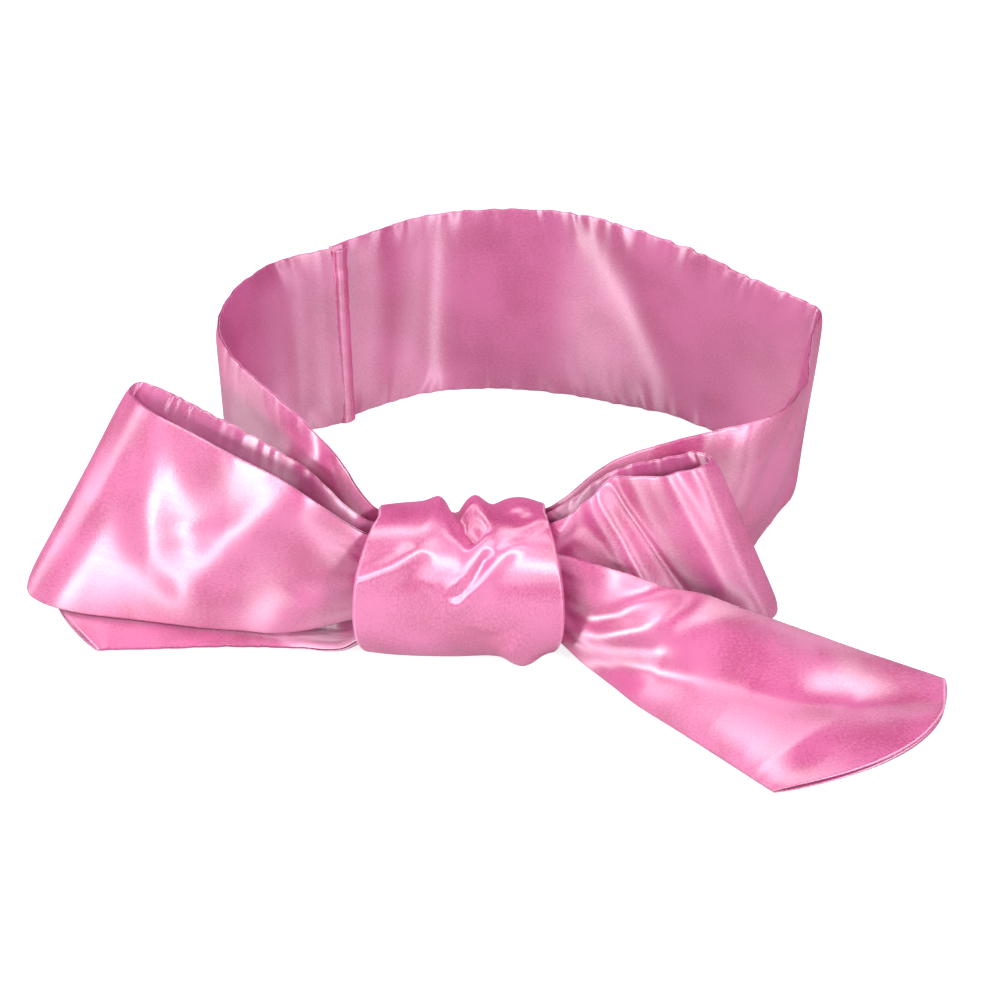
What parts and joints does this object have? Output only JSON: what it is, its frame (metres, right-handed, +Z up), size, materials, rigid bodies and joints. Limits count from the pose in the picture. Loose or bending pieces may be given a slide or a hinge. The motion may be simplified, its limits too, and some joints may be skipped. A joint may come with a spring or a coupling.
{
  "type": "sleep eye mask",
  "caption": "Satin sash eye mask of doubled ply, tied in front in a bow with loops and tails; the head loop stands on its lower edge.",
  "frame": {"origin": "middle of the footprint, on the table", "axes": "+Z up, the bow faces -Y, +X to the right of someone facing the bow"},
  "size_m": [0.3014, 0.241, 0.0753],
  "materials": {
    "satin_outer": "glossy satin weave",
    "satin_lining": "glossy satin weave, in shade",
    "sewing_thread": "fine twisted thread"
  },
  "bodies": {
    "head_loop": {"left_side_outer": "satin_outer", "left_side_lining": "satin_lining", "left_side_lower_stitching": "sewing_thread", "left_side_upper_stitching": "sewing_thread", "mask_panel_outer": "satin_outer", "mask_panel_lining": "satin_lining", "mask_panel_lower_stitching": "sewing_thread", "mask_panel_upper_stitching": "sewing_thread", "right_side_outer": "satin_outer", "right_side_lining": "satin_lining", "right_side_lower_stitching": "sewing_thread", "right_side_upper_stitching": "sewing_thread", "knot_wrap_outer": "satin_outer", "knot_wrap_lining": "satin_lining", "knot_crossed_turns": "satin_lining", "left_join_fold": "satin_outer", "left_join_stitching": "sewing_thread"},
    "left_bow_loop": {"left_loop_outer": "satin_outer", "left_loop_lining": "satin_lining", "left_loop_lower_stitching": "sewing_thread", "left_loop_upper_stitching": "sewing_thread"},
    "right_bow_loop": {"right_loop_outer": "satin_outer", "right_loop_lining": "satin_lining", "right_loop_lower_stitching": "sewing_thread", "right_loop_upper_stitching": "sewing_thread"},
    "left_bow_tail": {"left_tail_outer": "satin_outer", "left_tail_lining": "satin_lining", "left_tail_stitching": "sewing_thread"},
    "right_bow_tail": {"right_tail_outer": "satin_outer", "right_tail_lining": "satin_lining", "right_tail_stitching": "sewing_thread"}
  },
  "joints": [
    {"name": "left_loop_swing", "type": "hinge", "parent": "head_loop", "child": "left_bow_loop", "pos_m": [-0.03375, -0.04305, 0.03], "axis": [0, 0, 1], "range_deg": [-5, 28]},
    {"name": "left_tail_swing", "type": "hinge", "parent": "head_loop", "child": "left_bow_tail", "pos_m": [-0.03575, -0.04455, 0.005], "axis": [0, 0, 1], "range_deg": [-7, 25]},
    {"name": "right_loop_swing", "type": "hinge", "parent": "head_loop", "child": "right_bow_loop", "pos_m": [0.02725, -0.04105, 0.03], "axis": [0, 0, 1], "range_deg": [-9, 3]},
    {"name": "right_tail_swing", "type": "hinge", "parent": "head_loop", "child": "right_bow_tail", "pos_m": [0.02625, -0.05255, 0.025], "axis": [0, 0, 1], "range_deg": [-17, 0]}
  ]
}
